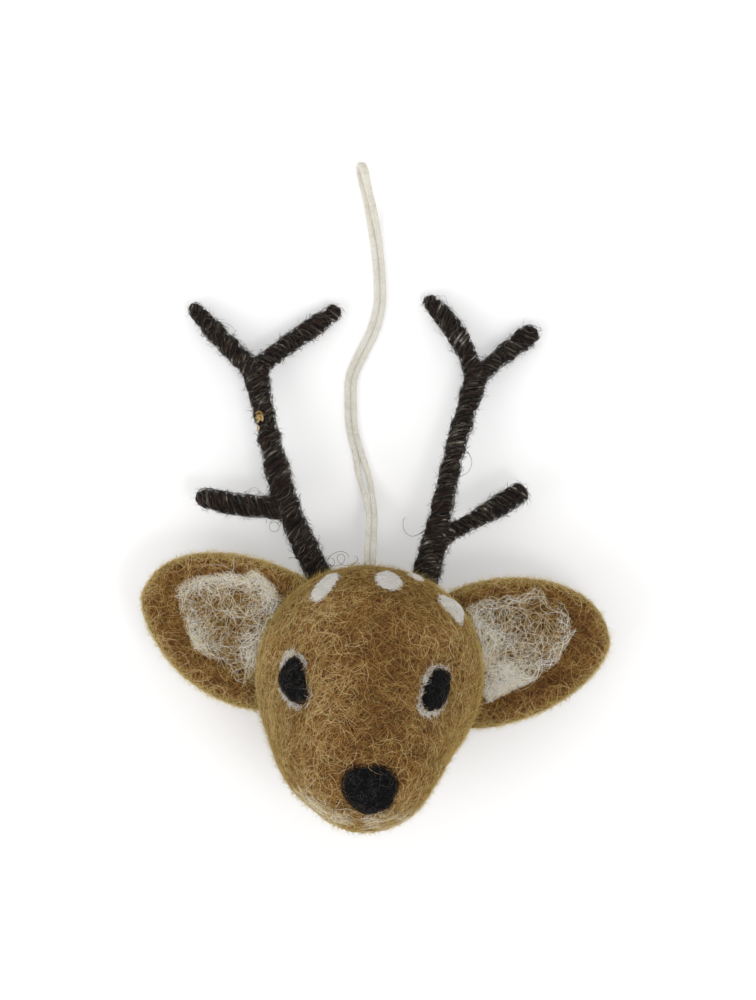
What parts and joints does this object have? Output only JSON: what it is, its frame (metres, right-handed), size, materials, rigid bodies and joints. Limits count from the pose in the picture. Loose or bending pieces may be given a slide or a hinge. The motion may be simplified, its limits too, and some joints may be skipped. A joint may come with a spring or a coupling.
{
  "type": "felt deer head ornament",
  "caption": "Needle-felted deer's head ornament with cupped felt ears that flex, yarn-wound wire antlers that bend at the root, and a doubled cotton loop to hang it by.",
  "frame": {"origin": "middle of the small flat on the back of the head, on the surface that the ornament lies on", "axes": "+X to the viewer's right, +Y from the muzzle to the antlers, +Z out of the face"},
  "size_m": [0.0999, 0.1446, 0.0588],
  "materials": {
    "tan_felt": "needle-felted wool, fuzzy",
    "core_wool": "firm undyed wool",
    "black_wool": "needle-felted wool, matt",
    "white_wool": "needle-felted wool, matt",
    "pale_wool": "loose wool fibres",
    "dark_yarn": "wound wool yarn, fuzzy",
    "cotton_cord": "twisted cotton, matt",
    "steel_wire": "plain drawn wire"
  },
  "bodies": {
    "head": {"head_core": "core_wool", "head_felt": "tan_felt", "nose": "black_wool", "chin_patch": "pale_wool", "left_eye": "black_wool", "left_eye_rim": "white_wool", "right_eye": "black_wool", "right_eye_rim": "white_wool", "left_spot": "white_wool", "middle_spot": "white_wool", "right_spot": "white_wool", "back_spot": "white_wool", "left_antler_shank": "steel_wire", "right_antler_shank": "steel_wire", "hanging_loop": "cotton_cord", "loop_knot": "cotton_cord"},
    "left_ear_flap": {"left_ear": "tan_felt", "left_ear_lining": "pale_wool"},
    "right_ear_flap": {"right_ear": "tan_felt", "right_ear_lining": "pale_wool"},
    "left_antler": {"left_beam_wire": "steel_wire", "left_brow_tine_wire": "steel_wire", "left_outer_tine_wire": "steel_wire", "left_inner_tine_wire": "steel_wire", "left_lower_beam_wrap": "dark_yarn", "left_upper_beam_wrap": "dark_yarn", "left_brow_tine_wrap": "dark_yarn", "left_outer_tine_wrap": "dark_yarn", "left_inner_tine_wrap": "dark_yarn", "left_brow_crotch_wrap": "dark_yarn", "left_fork_crotch_wrap": "dark_yarn"},
    "right_antler": {"right_beam_wire": "steel_wire", "right_brow_tine_wire": "steel_wire", "right_outer_tine_wire": "steel_wire", "right_inner_tine_wire": "steel_wire", "right_lower_beam_wrap": "dark_yarn", "right_upper_beam_wrap": "dark_yarn", "right_brow_tine_wrap": "dark_yarn", "right_outer_tine_wrap": "dark_yarn", "right_inner_tine_wrap": "dark_yarn", "right_brow_crotch_wrap": "dark_yarn", "right_fork_crotch_wrap": "dark_yarn"}
  },
  "joints": [
    {"name": "left_ear_flex", "type": "hinge", "parent": "head", "child": "left_ear_flap", "pos_m": [-0.02114, 0.0077, 0.02], "axis": [0.342, 0.9397, 0], "range_deg": [-8, 15], "stiffness_Nm_per_rad": 0.01},
    {"name": "right_ear_flex", "type": "hinge", "parent": "head", "child": "right_ear_flap", "pos_m": [0.02222, 0.00352, 0.02], "axis": [0.1564, -0.9877, 0], "range_deg": [-8, 15], "stiffness_Nm_per_rad": 0.01},
    {"name": "left_antler_bend", "type": "hinge", "parent": "head", "child": "left_antler", "pos_m": [-0.01055, 0.02061, 0.01641], "axis": [0, 0, 1], "range_deg": [-4, 12]},
    {"name": "right_antler_bend", "type": "hinge", "parent": "head", "child": "right_antler", "pos_m": [0.01168, 0.02031, 0.01735], "axis": [0, 0, -1], "range_deg": [-5, 12]}
  ]
}
